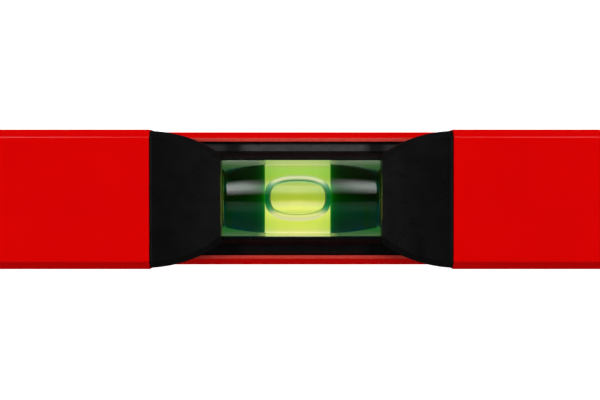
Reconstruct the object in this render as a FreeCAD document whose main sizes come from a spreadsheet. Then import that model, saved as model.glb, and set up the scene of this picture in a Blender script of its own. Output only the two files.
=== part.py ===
import FreeCAD, Part
import math
import os
import re
import Sketcher

# Spirit level: a box section with a vial let into its top edge and a plumb vial near each end.
#
# Millimetres. +X runs along the level, +Y across it, +Z up. The origin is the middle of the bottom
# measuring face, on which the level stands. Left is -X, front is -Y.

DIMENSIONS = {
    # box section
    "profile_length": 394.4,
    "profile_width": 25,
    "profile_height": 60,
    "wall": 1.8,
    "edge_bevel": 1.4,
    "edge_round": 0.35,
    # notch cut down through the top edge, which leaves the side walls as rails
    "notch_length": 54.2,
    "rail_height": 46,
    "rail_bevel": 1.2,
    # round window of each plumb vial
    "plumb_place": 140,
    "plumb_height": 30,
    "plumb_window_radius": 18,
    # moulded saddle in the notch
    "saddle_length": 54,
    "saddle_gap": 0.1,
    "saddle_bottom": 39.2,
    "ramp_width": 24.5,
    "ramp_turn": 20,
    "ramp_lip": 0.4,
    "ramp_top": 59.8,
    "ramp_foot": 54,
    "ramp_scoop": 24,
    "ramp_bevel": 1.1,
    "ledge_low": 45.2,
    "ledge_high": 45.9,
    "ledge_inside": 8.9,
    "rim_height": 48.1,
    "rim_thickness": 0.6,
    "core_length": 4.4,
    "core_width": 17,
    "core_wall": 1.8,
    "core_top": 53.5,
    "lug_length": 3.5,
    "lug_root": 1,
    "lug_width": 13,
    "lug_thickness": 2.1,
    # centre vial: clear block with a foot and flat shoulders, and a barrel crown round the chamber
    "vial_length": 29.3,
    "vial_width": 14.1,
    "vial_bottom": 40.4,
    "vial_gap": 0.1,
    "foot_overhang": 0.75,
    "foot_thickness": 1.5,
    "shoulder_height": 50,
    "crown_length": 28.7,
    "crown_straight": 8,
    "crown_radius": 6.88,
    "crown_bow": 51,
    "crown_corner": 0.8,
    "chamber_axis": 47.5,
    "chamber_length": 25.6,
    "chamber_radius": 5.4,
    "chamber_bow": 82,
    "chamber_corner": 1.2,
    "filler_radius": 2,
    "filler_overlap": 0.2,
    "fluid_gap": 0.03,
    # middle of the chamber, its bubble and its sight window, a little left of the block's middle
    "sight_place": -0.63,
    # bubble of the centre vial
    "bubble_length": 12.1,
    "bubble_width": 7.2,
    "bubble_depth": 3.1,
    "bubble_rise": 3.25,
    # plates under the centre vial and the screwed plate that holds it
    "backing_thickness": 0.6,
    "mask_thickness": 0.2,
    "mask_width": 10.4,
    "bright_length": 12,
    "retainer_length": 42,
    "retainer_width": 18,
    "retainer_thickness": 1.6,
    "retainer_corner": 1.5,
    "retainer_screw_along": 18,
    "retainer_screw_across": 6,
    # self-tapping screws
    "screw_radius": 0.95,
    "pilot_radius": 1,
    "pilot_spare": 0.3,
    "clearance_radius": 1.2,
    "head_radius": 1.85,
    "head_height": 1.2,
    "head_slot": 0.5,
    "head_slot_length": 2.4,
    "head_slot_depth": 0.6,
    "retainer_screw_length": 6.6,
    # end caps and their rubber pads
    "cap_thickness": 2.2,
    "cap_inset": 0.2,
    "cap_corner": 2,
    "cap_round": 0.8,
    "plug_length": 14,
    "plug_gap": 0.1,
    "plug_wall": 1.8,
    "pad_width": 15,
    "pad_height": 46,
    "pad_corner": 3,
    "pad_gap": 0.1,
    "pad_recess": 1.2,
    "pad_proud": 0.6,
    "groove_width": 1.4,
    "groove_depth": 0.5,
    "groove_pitch": 6,
    # bezels of the plumb vials
    "bezel_flange_radius": 19.8,
    "bezel_flange_thickness": 0.7,
    "bezel_rim_radius": 17.8,
    "bezel_shell": 1.6,
    "bezel_split": 0.1,
    "dish_edge_radius": 17.3,
    "dish_edge_depth": 2,
    "dish_under_radius": 9,
    "dish_floor_radius": 9.5,
    "dish_floor_depth": 7.2,
    "dish_floor_thickness": 1.4,
    "slot_width": 12.6,
    "slot_length": 22.4,
    "slot_corner": 3,
    "cradle_width": 16,
    "cradle_start": 11.4,
    "cradle_end": 15,
    "cradle_depth": 6.5,
    "boss_radius": 2.3,
    "boss_length": 8.4,
    "boss_overlap": 0.5,
    "boss_across": 11,
    "boss_up": 8,
    "bezel_screw_seat": 7,
    "bezel_screw_length": 13,
    "bezel_pilot_depth": 6.5,
    "counterbore_radius": 2,
    # plumb vials
    "tube_length": 27,
    "tube_radius": 6,
    "tube_chamfer": 0.4,
    "tube_gap": 0.1,
    "tube_chamber_length": 22,
    "tube_chamber_radius": 4.6,
    "tube_chamber_bow": 120,
    "tube_chamber_corner": 1,
    "plumb_bubble_length": 7.6,
    "plumb_bubble_width": 6,
    "plumb_bubble_gap": 0.2,
    "ring_thickness": 0.18,
    "ring_width": 0.6,
    "ring_spacing": 8,
}

SIDES = (("left", -1), ("right", 1))
TINY = 0.01
SPARE = 1
PARALLEL = 1e-6

doc = FreeCAD.newDocument("SpiritLevel")
sheet = doc.addObject("Spreadsheet::Sheet", "Sizes")
sub_parts = []


# ------------------------------------------------------------------ the sheet and its formulas


def fill_sheet():
    """Put every driving dimension in the sheet, its name in column A and its value in column B."""
    for row, (alias, number) in enumerate(DIMENSIONS.items(), start=1):
        sheet.set(f"A{row}", alias)
        sheet.set(f"B{row}", str(number))
        sheet.setAlias(f"B{row}", alias)
    doc.recompute()


def value(formula):
    """The number that a formula of the sheet's aliases gives."""
    return float(sheet.evalExpression(formula))


def bind(thing, prop, formula):
    """Bind a property to a formula of the sheet's aliases."""
    words = r"\b[a-z][a-z_]*\b(?!\()"
    thing.setExpression(prop, re.sub(words, r"Sizes.\g<0>", formula))


def sub_part(label, thing):
    """Register a finished object as a sub-part of the level, under the name of its file."""
    thing.Label = label
    sub_parts.append(thing)
    return thing


# ------------------------------------------------------------------ sketches and features


def sketch_on(body, plane, name, offset="0"):
    """An empty sketch on one of the body's origin planes, moved along the plane's normal.

    Across and up in the sketch are X and Y on XY_Plane, X and Z on XZ_Plane (whose normal is -Y),
    and Y and Z on YZ_Plane.
    """
    sketch = body.newObject("Sketcher::SketchObject", name)
    origin_plane = next(item for item in body.Origin.OriginFeatures if item.Role == plane)
    sketch.AttachmentSupport = [(origin_plane, "")]
    sketch.MapMode = "FlatFace"
    bind(sketch, "AttachmentOffset.Base.z", offset)
    return sketch


def pin(sketch, kind, first, number, position, formula):
    """Hold one coordinate of a point, or one radius, at a formula."""
    if kind == "Radius":
        constraint = Sketcher.Constraint(kind, first, number)
    else:
        constraint = Sketcher.Constraint(kind, -1, 1, first, position, number)
    index = sketch.addConstraint(constraint)
    name = f"{kind.lower()}_{index}"
    sketch.renameConstraint(index, name)
    bind(sketch, f"Constraints.{name}", formula)


def arc_between(start, end, radius, bulge):
    """The short arc from start to end, bulging to the left (bulge 1) or right (-1) of its chord."""
    chord = end - start
    left = FreeCAD.Vector(-chord.y, chord.x, 0).normalize()
    sagitta_centre = math.sqrt(radius**2 - (chord.Length / 2) ** 2)
    centre = (start + end) / 2 - left * (bulge * sagitta_centre)
    first, last = (end, start) if bulge > 0 else (start, end)
    angles = [math.atan2(point.y - centre.y, point.x - centre.x) for point in (first, last)]
    return Part.ArcOfCircle(Part.Circle(centre, FreeCAD.Vector(0, 0, 1), radius), *angles)


def outline(sketch, corners, arcs=None):
    """Add a closed outline through corners, each a pair of formulas (across, up).

    arcs gives the sides that are arcs instead of lines: the number of the corner that the side
    leaves, with its radius formula and the direction of its bulge.
    """
    arcs = arcs or {}
    points = [FreeCAD.Vector(value(across), value(up), 0) for across, up in corners]
    base = sketch.GeometryCount
    ends = []
    for side, start in enumerate(points):
        end = points[(side + 1) % len(points)]
        if side in arcs:
            radius, bulge = arcs[side]
            sketch.addGeometry(arc_between(start, end, value(radius), bulge), False)
            ends.append((2, 1) if bulge > 0 else (1, 2))
        else:
            sketch.addGeometry(Part.LineSegment(start, end), False)
            ends.append((1, 2))
    for side, (across, up) in enumerate(corners):
        following = (side + 1) % len(corners)
        joint = ("Coincident", base + side, ends[side][1], base + following, ends[following][0])
        sketch.addConstraint(Sketcher.Constraint(*joint))
        pin(sketch, "DistanceX", base + side, points[side].x, ends[side][0], across)
        pin(sketch, "DistanceY", base + side, points[side].y, ends[side][0], up)
        if side in arcs:
            pin(sketch, "Radius", base + side, value(arcs[side][0]), 0, arcs[side][0])


def rectangle(sketch, width, height, across="0", up="0", corner=None):
    """Add a rectangle centred on (across, up), with round corners where a radius is given."""
    left, right = f"{across} - ({width}) / 2", f"{across} + ({width}) / 2"
    low, high = f"{up} - ({height}) / 2", f"{up} + ({height}) / 2"
    if corner is None:
        outline(sketch, [(left, low), (right, low), (right, high), (left, high)])
        return
    corners = [
        (f"{left} + {corner}", low),
        (f"{right} - {corner}", low),
        (right, f"{low} + {corner}"),
        (right, f"{high} - {corner}"),
        (f"{right} - {corner}", high),
        (f"{left} + {corner}", high),
        (left, f"{high} - {corner}"),
        (left, f"{low} + {corner}"),
    ]
    outline(sketch, corners, {side: (corner, -1) for side in (1, 3, 5, 7)})


def circle(sketch, radius, across="0", up="0"):
    """Add a circle centred on (across, up)."""
    centre = FreeCAD.Vector(value(across), value(up), 0)
    index = sketch.addGeometry(Part.Circle(centre, FreeCAD.Vector(0, 0, 1), value(radius)), False)
    pin(sketch, "DistanceX", index, centre.x, 3, across)
    pin(sketch, "DistanceY", index, centre.y, 3, up)
    pin(sketch, "Radius", index, value(radius), 0, radius)


def add(body, sketch, length, side="One side", backwards=False):
    """Pad a sketch of the body."""
    feature = body.newObject("PartDesign::Pad", f"{sketch.Name}Pad")
    feature.Profile = sketch
    feature.SideType = side
    feature.Reversed = backwards
    bind(feature, "Length", length)
    return compare(body, feature, 1)


def remove(body, sketch, length, side="One side", backwards=False):
    """Pocket a sketch out of the body. A pocket goes against the sketch's normal unless backwards."""
    feature = body.newObject("PartDesign::Pocket", f"{sketch.Name}Pocket")
    feature.Profile = sketch
    feature.SideType = side
    feature.Reversed = backwards
    bind(feature, "Length", length)
    return compare(body, feature, -1)


def turn(body, sketch, axis, kind="Revolution"):
    """Revolve a sketch of the body about its own H_Axis or V_Axis, as a Revolution or a Groove."""
    feature = body.newObject(f"PartDesign::{kind}", f"{sketch.Name}{kind}")
    feature.Profile = sketch
    feature.ReferenceAxis = (sketch, [axis])
    feature.Angle = 360
    return compare(body, feature, 1 if kind == "Revolution" else -1)


def compare(body, feature, sign):
    """Recompute, and stop if the feature hasn't added (sign 1) or removed (-1) any material."""
    earlier = feature.BaseFeature.Shape.Volume if feature.BaseFeature else 0
    doc.recompute()
    if (feature.Shape.Volume - earlier) * sign <= 0:
        raise RuntimeError(f"{body.Name}: {feature.Name} changes nothing")
    return feature


def dress(body, kind, prop, size, edges):
    """Fillet or chamfer the edges of the body's tip that the test picks."""
    tip = body.Tip
    names = [f"Edge{number}" for number, edge in enumerate(tip.Shape.Edges, start=1) if edges(edge)]
    if not names:
        raise RuntimeError(f"{body.Name}: no edge to dress")
    feature = body.newObject(f"PartDesign::{kind}", f"{body.Name}{kind}")
    feature.Base = (tip, names)
    bind(feature, prop, size)
    doc.recompute()
    return feature


def new_body(name):
    """An empty body."""
    return doc.addObject("PartDesign::Body", name)


def runs_along(edge, axis):
    """Whether an edge is a straight line along x, y or z."""
    if not isinstance(edge.Curve, Part.Line):
        return False
    direction = edge.Curve.Direction
    return abs(abs(getattr(direction, axis)) - 1) < PARALLEL


# ------------------------------------------------------------------ primitives and booleans


def primitive(kind, name, sizes, place, rotation=None):
    """A Part primitive whose sizes and place are formulas."""
    thing = doc.addObject(f"Part::{kind}", name)
    for prop, formula in sizes.items():
        bind(thing, prop, formula)
    if rotation:
        thing.Placement.Rotation = rotation
    for letter, formula in zip("xyz", place):
        bind(thing, f"Placement.Base.{letter}", formula)
    return thing


def block(name, length, width, height, centre, bottom):
    """A box centred on (x, y) that stands on a height."""
    across, along = centre
    place = (f"{across} - ({length}) / 2", f"{along} - ({width}) / 2", bottom)
    return primitive("Box", name, {"Length": length, "Width": width, "Height": height}, place)


def difference(name, base, tool):
    """The base with the tool cut out of it."""
    thing = doc.addObject("Part::Cut", name)
    thing.Base = base
    thing.Tool = tool
    return thing


def union(name, pieces):
    """Pieces joined where they touch. Those that stand apart stay separate solids."""
    thing = doc.addObject("Part::MultiFuse", name)
    thing.Shapes = pieces
    return thing


ALONG_Y = FreeCAD.Rotation(FreeCAD.Vector(1, 0, 0), -90)
HALF_TURN = FreeCAD.Rotation(FreeCAD.Vector(0, 0, 1), 180)


# ------------------------------------------------------------------ box section


def box_profile():
    """Extruded box section with bevelled edges, notched at the top and bored for the plumb vials."""
    body = new_body("BoxProfile")
    section = sketch_on(body, "YZ_Plane", "ProfileSection")
    half, top = "profile_width / 2", "profile_height"
    corners = [
        (f"-{half} + edge_bevel", "0"),
        (f"{half} - edge_bevel", "0"),
        (half, "edge_bevel"),
        (half, f"{top} - edge_bevel"),
        (f"{half} - edge_bevel", top),
        (f"-{half} + edge_bevel", top),
        (f"-{half}", f"{top} - edge_bevel"),
        (f"-{half}", "edge_bevel"),
    ]
    outline(section, corners)
    rectangle(section, "profile_width - 2 * wall", "profile_height - 2 * wall", up="profile_height / 2")
    add(body, section, "profile_length", "Symmetric")

    inside = value("profile_width / 2 - wall")

    def bevel_edge(edge):
        return runs_along(edge, "x") and abs(edge.Vertexes[0].Y) > inside + TINY

    dress(body, "Fillet", "Radius", "edge_round", bevel_edge)

    notch = sketch_on(body, "XZ_Plane", "Notch")
    rectangle(notch, "notch_length", "2 * (profile_height - rail_height)", up="profile_height")
    remove(body, notch, "2 * profile_width", "Symmetric")

    rails = sketch_on(body, "YZ_Plane", "RailBevels")
    for _, side in SIDES:
        beyond = f"{side} * ({half} + rail_bevel)"
        corners = [
            (f"{side} * ({half} - 2 * rail_bevel)", "rail_height + rail_bevel"),
            (beyond, "rail_height - 2 * rail_bevel"),
            (beyond, "rail_height + rail_bevel"),
        ]
        outline(rails, corners)
    remove(body, rails, "notch_length", "Symmetric")

    windows = sketch_on(body, "XZ_Plane", "PlumbWindows")
    for _, side in SIDES:
        circle(windows, "plumb_window_radius", f"{side} * plumb_place", "plumb_height")
    remove(body, windows, "2 * profile_width", "Symmetric")
    sub_part("box_profile", body)


# ------------------------------------------------------------------ saddle in the notch


def saddle_base(body):
    """The part of the saddle between the rails: ledges that slope up to a rim round the window."""
    half = "(profile_width / 2 - wall - saddle_gap)"
    rim_inside = "(vial_width / 2 + vial_gap)"
    right_side = [
        (half, "saddle_bottom"),
        (half, "ledge_low"),
        ("ledge_inside", "ledge_high"),
        (f"{rim_inside} + rim_thickness", "rim_height"),
    ]
    left_side = [(f"-({across})", up) for across, up in reversed(right_side)]
    section = sketch_on(body, "YZ_Plane", "SaddleSection")
    outline(section, right_side + left_side)
    add(body, section, "saddle_length", "Symmetric")


def saddle_ramps(body):
    """The two end blocks, which bow in towards the vial and stand over the rails."""
    plan = sketch_on(body, "XY_Plane", "RampPlan", "rail_height + saddle_gap")
    foot = "(vial_length / 2 + vial_gap)"
    reach = f"(saddle_length / 2 - {foot})"
    narrowing = f"(ramp_turn - sqrt(ramp_turn ^ 2 - {reach} ^ 2))"
    foot_half = f"(ramp_width / 2 - {narrowing})"
    for _, side in SIDES:
        corners = [
            (f"{side} * saddle_length / 2", "-ramp_width / 2"),
            (f"{side} * saddle_length / 2", "ramp_width / 2"),
            (f"{side} * {foot}", foot_half),
            (f"{side} * {foot}", f"-{foot_half}"),
        ]
        outline(plan, corners, {1: ("ramp_turn", -side), 3: ("ramp_turn", -side)})
    add(body, plan, "ramp_top - rail_height - saddle_gap")

    scoop = sketch_on(body, "XZ_Plane", "Scoop")
    lip = "(saddle_length / 2 - ramp_lip)"
    above = f"(ramp_top + {SPARE})"
    corners = [
        (f"-{lip}", above),
        (f"-{lip}", "ramp_top"),
        (f"-{foot}", "ramp_foot"),
        (foot, "ramp_foot"),
        (lip, "ramp_top"),
        (lip, above),
    ]
    outline(scoop, corners, {1: ("ramp_scoop", -1), 3: ("ramp_scoop", -1)})
    remove(body, scoop, "2 * profile_width", "Symmetric")


def saddle_openings(body):
    """The window of the vial, the wider seat of its foot, cores under the ramps and pilot holes."""
    window = sketch_on(body, "XY_Plane", "VialWindow", "ramp_top")
    rectangle(window, "vial_length + 2 * vial_gap", "vial_width + 2 * vial_gap")
    remove(body, window, "2 * (ramp_top - saddle_bottom)")

    seat = sketch_on(body, "XY_Plane", "FootSeat", "saddle_bottom")
    margin = "2 * (foot_overhang + vial_gap)"
    rectangle(seat, f"vial_length + {margin}", f"vial_width + {margin}")
    remove(body, seat, "vial_bottom + foot_thickness + vial_gap - saddle_bottom", backwards=True)

    cores = sketch_on(body, "XY_Plane", "RampCores", "saddle_bottom")
    for _, side in SIDES:
        place = f"{side} * (saddle_length / 2 - core_wall - core_length / 2)"
        rectangle(cores, "core_length", "core_width", across=place)
    remove(body, cores, "core_top - saddle_bottom", backwards=True)

    pilots = sketch_on(body, "XY_Plane", "RetainerPilots", "saddle_bottom")
    for across, along in retainer_screw_places():
        circle(pilots, "pilot_radius", across, along)
    remove(body, pilots, "retainer_screw_length - retainer_thickness + pilot_spare", backwards=True)


def retainer_screw_places():
    """Formulas of the four screws' places, as (x, y)."""
    signs = [(x, y) for x in (-1, 1) for y in (-1, 1)]
    return [(f"{x} * retainer_screw_along", f"{y} * retainer_screw_across") for x, y in signs]


def vial_saddle():
    """Black moulded insert that fills the notch and holds the centre vial."""
    body = new_body("VialSaddle")
    saddle_base(body)
    saddle_ramps(body)

    foot_height = value("ramp_foot")
    window_side, ramp_side = value("vial_width / 2"), value("ramp_width / 2")

    def side_of_ramp(edge):
        """The curved edges between a ramp's scooped top and its bowed sides."""
        middle = edge.valueAt((edge.FirstParameter + edge.LastParameter) / 2)
        curved = not isinstance(edge.Curve, Part.Line)
        on_side = window_side < abs(middle.y) < ramp_side - TINY
        return curved and on_side and middle.z > foot_height + TINY

    dress(body, "Chamfer", "Size", "ramp_bevel", side_of_ramp)
    saddle_openings(body)

    lugs = sketch_on(body, "XZ_Plane", "SnapLugs")
    lug_middle = "(profile_height - wall - 2 * saddle_gap - lug_thickness / 2)"
    for _, side in SIDES:
        place = f"{side} * (saddle_length / 2 + (lug_length - lug_root) / 2)"
        rectangle(lugs, "lug_length + lug_root", "lug_thickness", across=place, up=lug_middle)
    add(body, lugs, "lug_width", "Symmetric")
    sub_part("vial_saddle", body)


# ------------------------------------------------------------------ barrel-shaped chambers


def barrel(body, name, plane, height, size, kind, place="0"):
    """Turn a barrel about an axis at a height, as a Revolution or a Groove of the body.

    On XZ_Plane the barrel lies along X, with its middle at place. On YZ_Plane it stands along Z, and
    height is its middle. size holds formulas: half length, radius in the middle, radius of the bow,
    corner radius and the length of the straight middle, "0" where the bow runs from end to end.
    """
    half_length, radius, bow, corner, straight = size
    lying = plane == "XZ_Plane"
    bowed = f"({half_length} - {corner} - {straight} / 2)"
    end_radius = f"({radius} - {bow} + sqrt(({bow}) ^ 2 - {bowed} ^ 2))"
    sketch = sketch_on(body, plane, name)
    bind(sketch, "AttachmentOffset.Base.x", place)
    bind(sketch, "AttachmentOffset.Base.y", height)
    middle = []
    if straight != "0":
        middle = [(f"{straight} / 2", radius), (f"-{straight} / 2", radius)]
    corners = [
        (f"-{half_length}", "0"),
        (half_length, "0"),
        (half_length, f"{end_radius} - {corner}"),
        (f"{half_length} - {corner}", end_radius),
        *middle,
        (f"-{half_length} + {corner}", end_radius),
        (f"-{half_length}", f"{end_radius} - {corner}"),
    ]
    last = len(corners) - 1
    arcs = {2: (corner, -1), 3: (bow, -1), last - 2: (bow, -1), last - 1: (corner, -1)}
    if not lying:
        corners = [(up, across) for across, up in corners]
        arcs = {side: (size_of, -bulge) for side, (size_of, bulge) in arcs.items()}
    outline(sketch, corners, arcs)
    turn(body, sketch, "H_Axis" if lying else "V_Axis", kind)


def centre_chamber_size(gap="0"):
    """The centre chamber's barrel, made smaller all round by a gap."""
    return (
        f"(chamber_length / 2 - {gap})",
        f"(chamber_radius - {gap})",
        "chamber_bow",
        "chamber_corner",
        "0",
    )


def tube_chamber_size(gap="0"):
    """A plumb chamber's barrel, made smaller all round by a gap."""
    return (
        f"(tube_chamber_length / 2 - {gap})",
        f"(tube_chamber_radius - {gap})",
        "tube_chamber_bow",
        "tube_chamber_corner",
        "0",
    )


# ------------------------------------------------------------------ centre vial


def centre_vial():
    """Clear block with a foot and flat shoulders, and a barrel-shaped crown round its chamber."""
    body = new_body("CentreVial")
    foot = sketch_on(body, "XY_Plane", "VialFoot", "vial_bottom")
    rectangle(foot, "vial_length + 2 * foot_overhang", "vial_width + 2 * foot_overhang")
    add(body, foot, "foot_thickness")

    core = sketch_on(body, "XY_Plane", "VialBlock", "vial_bottom")
    rectangle(core, "vial_length", "vial_width")
    add(body, core, "shoulder_height - vial_bottom")

    crown = ("(crown_length / 2)", "crown_radius", "crown_bow", "crown_corner", "crown_straight")
    barrel(body, "Crown", "XZ_Plane", "chamber_axis", crown, "Revolution")
    chamber = centre_chamber_size()
    barrel(body, "Chamber", "XZ_Plane", "chamber_axis", chamber, "Groove", "sight_place")

    filler = sketch_on(body, "YZ_Plane", "FillerHole", "vial_length / 2")
    circle(filler, "filler_radius", up="chamber_axis")
    remove(body, filler, f"{filler_length()} + filler_overlap")
    sub_part("centre_vial", body)


def filler_length():
    """The length of the filling hole, from the chamber to the right end of the block."""
    return "(vial_length / 2 - sight_place - chamber_length / 2)"


def centre_vial_plug():
    """Short plug bonded into the filling hole at the right end of the centre vial."""
    sizes = {"Radius": "filler_radius - fluid_gap", "Height": filler_length()}
    place = ("sight_place + chamber_length / 2", "0", "chamber_axis")
    along_x = FreeCAD.Rotation(FreeCAD.Vector(0, 1, 0), 90)
    sub_part("centre_vial_plug", primitive("Cylinder", "CentrePlug", sizes, place, along_x))


def centre_bubble_shape(name, growth="0"):
    """The flattened oval bubble under the top of the centre chamber, made larger by a growth."""
    sizes = {
        "Radius1": f"bubble_depth / 2 + {growth}",
        "Radius2": f"bubble_length / 2 + {growth}",
        "Radius3": f"bubble_width / 2 + {growth}",
    }
    return primitive("Ellipsoid", name, sizes, ("sight_place", "0", "chamber_axis + bubble_rise"))


def centre_bubble():
    """Air bubble, which slides along the chamber."""
    sub_part("centre_bubble", centre_bubble_shape("CentreBubble"))


def centre_fluid():
    """Fluid that fills the centre chamber round the bubble."""
    body = new_body("CentreFluidBody")
    chamber = centre_chamber_size("fluid_gap")
    barrel(body, "FluidBarrel", "XZ_Plane", "chamber_axis", chamber, "Revolution", "sight_place")
    hollow = centre_bubble_shape("CentreBubbleHollow", "fluid_gap")
    sub_part("centre_fluid", difference("CentreFluid", body, hollow))


def centre_backing():
    """Under the block: a pale reflector the size of its foot, and a dark mask on each end of that."""
    foot_length = "(vial_length + 2 * foot_overhang)"
    foot_width = "(vial_width + 2 * foot_overhang)"
    bottom = "vial_bottom - backing_thickness"
    height = "backing_thickness - mask_thickness"
    plate = block("Reflector", foot_length, foot_width, height, ("0", "0"), bottom)
    sub_part("centre_reflector", plate)
    bottom = "vial_bottom - mask_thickness"
    for word, side in SIDES:
        inner_edge = f"(sight_place + {side} * bright_length / 2)"
        outer_edge = f"({side} * {foot_length} / 2)"
        length = f"({side} * ({outer_edge} - {inner_edge}))"
        middle = f"(({inner_edge} + {outer_edge}) / 2)"
        plate = block(f"Mask{word}", length, "mask_width", "mask_thickness", (middle, "0"), bottom)
        sub_part(f"centre_vial_mask_{word}", plate)


def vial_retainer():
    """Plate screwed under the saddle, with a raised pad that presses on the vial's backing."""
    body = new_body("VialRetainer")
    plate = sketch_on(body, "XY_Plane", "RetainerPlate", "saddle_bottom - retainer_thickness")
    rectangle(plate, "retainer_length", "retainer_width", corner="retainer_corner")
    for across, along in retainer_screw_places():
        circle(plate, "clearance_radius", across, along)
    add(body, plate, "retainer_thickness")
    raised = sketch_on(body, "XY_Plane", "RetainerPad", "saddle_bottom")
    rectangle(raised, "vial_length + 2 * foot_overhang", "vial_width + 2 * foot_overhang")
    add(body, raised, "vial_bottom - backing_thickness - saddle_bottom")
    sub_part("vial_retainer", body)


CROSS = (("head_slot_length", "head_slot"), ("head_slot", "head_slot_length"))


def retainer_screws():
    """Four self-tapping screws, driven up into the saddle."""
    seat = "(saddle_bottom - retainer_thickness)"
    pieces, slots = [], []
    for across, along in retainer_screw_places():
        shank = {"Radius": "screw_radius", "Height": "retainer_screw_length"}
        pieces.append(primitive("Cylinder", "RetainerShank", shank, (across, along, seat)))
        head = {"Radius": "head_radius", "Height": "head_height"}
        pieces.append(primitive("Cylinder", "RetainerHead", head, (across, along, f"{seat} - head_height")))
        for length, width in CROSS:
            place, bottom = (across, along), f"{seat} - head_height"
            slots.append(block("RetainerSlot", length, width, "head_slot_depth", place, bottom))
    screws = difference("RetainerScrews", union("RetainerBlanks", pieces), union("RetainerCrosses", slots))
    sub_part("retainer_screws", screws)


# ------------------------------------------------------------------ end caps


def end_cap(word, side):
    """Moulded cap: an outer plate with a recess for the pad, and a hollow plug inside the section."""
    body = new_body(f"EndCap{word}")
    middle = "profile_height / 2"
    plate = sketch_on(body, "YZ_Plane", f"CapPlate{word}", "profile_length / 2")
    cap_width, cap_height = "profile_width - 2 * cap_inset", "profile_height - 2 * cap_inset"
    rectangle(plate, cap_width, cap_height, up=middle, corner="cap_corner")
    add(body, plate, "cap_thickness")

    wall_gap = "2 * (wall + plug_gap)"
    plug = sketch_on(body, "YZ_Plane", f"CapPlug{word}", "profile_length / 2")
    rectangle(plug, f"profile_width - {wall_gap}", f"profile_height - {wall_gap}", up=middle)
    add(body, plug, "plug_length", backwards=True)

    hollow_gap = "2 * (wall + plug_gap + plug_wall)"
    hollow = sketch_on(body, "YZ_Plane", f"CapHollow{word}", "profile_length / 2 - plug_length")
    rectangle(hollow, f"profile_width - {hollow_gap}", f"profile_height - {hollow_gap}", up=middle)
    remove(body, hollow, "plug_length - plug_wall", backwards=True)

    recess = sketch_on(body, "YZ_Plane", f"PadRecess{word}", "profile_length / 2 + cap_thickness")
    recess_width, recess_height = "pad_width + 2 * pad_gap", "pad_height + 2 * pad_gap"
    rectangle(recess, recess_width, recess_height, up=middle, corner="pad_corner")
    remove(body, recess, "pad_recess")

    outer_face = value("profile_length / 2 + cap_thickness")
    recess_across, recess_up = value(f"({recess_width}) / 2"), value(f"({recess_height}) / 2")
    middle_height = value(middle)

    def outer_rim(edge):
        """The edges round the cap's outer face, but not those of the recess."""
        point = edge.valueAt((edge.FirstParameter + edge.LastParameter) / 2)
        on_face = edge.BoundBox.XMin > outer_face - TINY
        past_side = abs(point.y) > recess_across + TINY
        return on_face and (past_side or abs(point.z - middle_height) > recess_up + TINY)

    dress(body, "Fillet", "Radius", "cap_round", outer_rim)
    if side < 0:
        body.Placement.Rotation = HALF_TURN
    sub_part(f"end_cap_{word}", body)


def shock_pad(word, side):
    """Grooved rubber pad that stands a little proud of the end cap."""
    body = new_body(f"ShockPad{word}")
    middle = "profile_height / 2"
    floor = "(profile_length / 2 + cap_thickness - pad_recess)"
    plate = sketch_on(body, "YZ_Plane", f"PadPlate{word}", floor)
    rectangle(plate, "pad_width", "pad_height", up=middle, corner="pad_corner")
    add(body, plate, "pad_recess + pad_proud")

    groove = sketch_on(body, "YZ_Plane", f"PadGroove{word}", f"{floor} + pad_recess + pad_proud")
    for step in range(-3, 4):
        rectangle(groove, f"pad_width + 2 * {SPARE}", "groove_width", up=f"{middle} + {step} * groove_pitch")
    remove(body, groove, "groove_depth")
    if side < 0:
        body.Placement.Rotation = HALF_TURN
    sub_part(f"shock_pad_{word}", body)


# ------------------------------------------------------------------ plumb vials


def boss_places():
    """Formulas of a bezel's four screws, as (x, z) from the middle of the bezel."""
    signs = [(x, z) for x in (-1, 1) for z in (-1, 1)]
    return [(f"{x} * boss_across", f"{z} * boss_up") for x, z in signs]


def bezel_shell(body, tag):
    """Round dished shell: flange on the section's wall, rim in the window, dish down to the vial."""
    wall_face = "(profile_width / 2)"
    front = f"({wall_face} + bezel_flange_thickness)"
    inner = "(bezel_rim_radius - bezel_shell)"
    underside = "(dish_floor_depth - dish_floor_thickness)"
    section = sketch_on(body, "XY_Plane", f"BezelSection{tag}")
    corners = [
        ("0", f"-{underside}"),
        ("0", "-dish_floor_depth"),
        ("dish_floor_radius", "-dish_floor_depth"),
        ("dish_edge_radius", f"-{front}"),
        ("bezel_flange_radius", f"-{front}"),
        ("bezel_flange_radius", f"-{wall_face}"),
        ("bezel_rim_radius", f"-{wall_face}"),
        ("bezel_rim_radius", "-bezel_split"),
        (inner, "-bezel_split"),
        (inner, f"-{front} + dish_edge_depth"),
        ("dish_under_radius", f"-{underside}"),
    ]
    outline(section, corners)
    turn(body, section, "V_Axis")


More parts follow.
